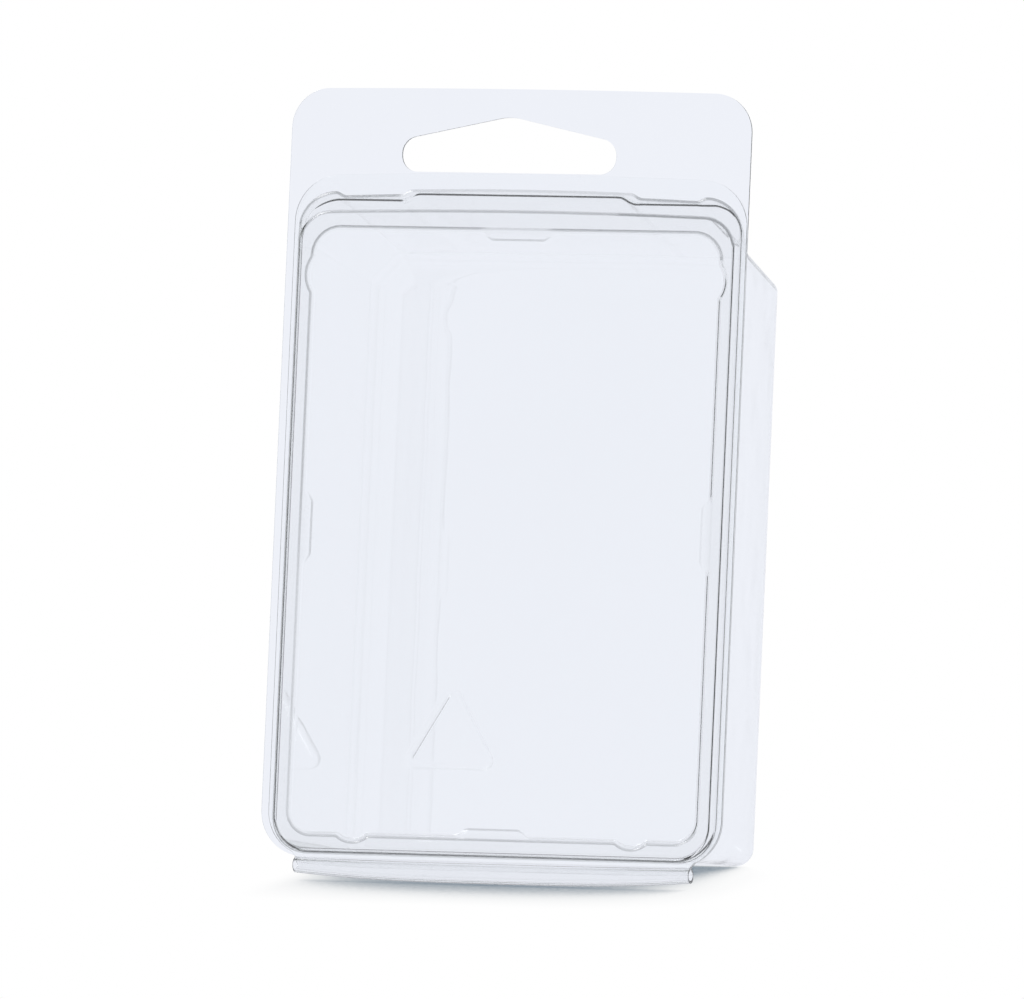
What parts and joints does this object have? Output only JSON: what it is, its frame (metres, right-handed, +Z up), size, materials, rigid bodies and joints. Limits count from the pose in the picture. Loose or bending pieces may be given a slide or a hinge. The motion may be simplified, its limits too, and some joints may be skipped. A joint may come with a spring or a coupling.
{
  "type": "clamshell blister pack",
  "caption": "Clear folded clamshell pack: deep back tray with a header and hanging hole, and a shallow hinged front lid.",
  "frame": {"origin": "bottom centre of the closed pack's bounding box, on the surface it stands on", "axes": "+Z up, +X to the right as seen from the front of the lid, +Y from the lid towards the back of the tray"},
  "size_m": [0.0682, 0.0488, 0.1115],
  "materials": {
    "clear_sheet": "clear glossy thermoformed PET sheet"
  },
  "bodies": {
    "tray": {"back_tray": "clear_sheet"},
    "lid": {"front_lid": "clear_sheet"}
  },
  "joints": [
    {"name": "lid_hinge", "type": "hinge", "parent": "tray", "child": "lid", "pos_m": [0.0006, -0.0232, 0.00002], "axis": [1, 0, 0], "range_deg": [0, 175]}
  ]
}
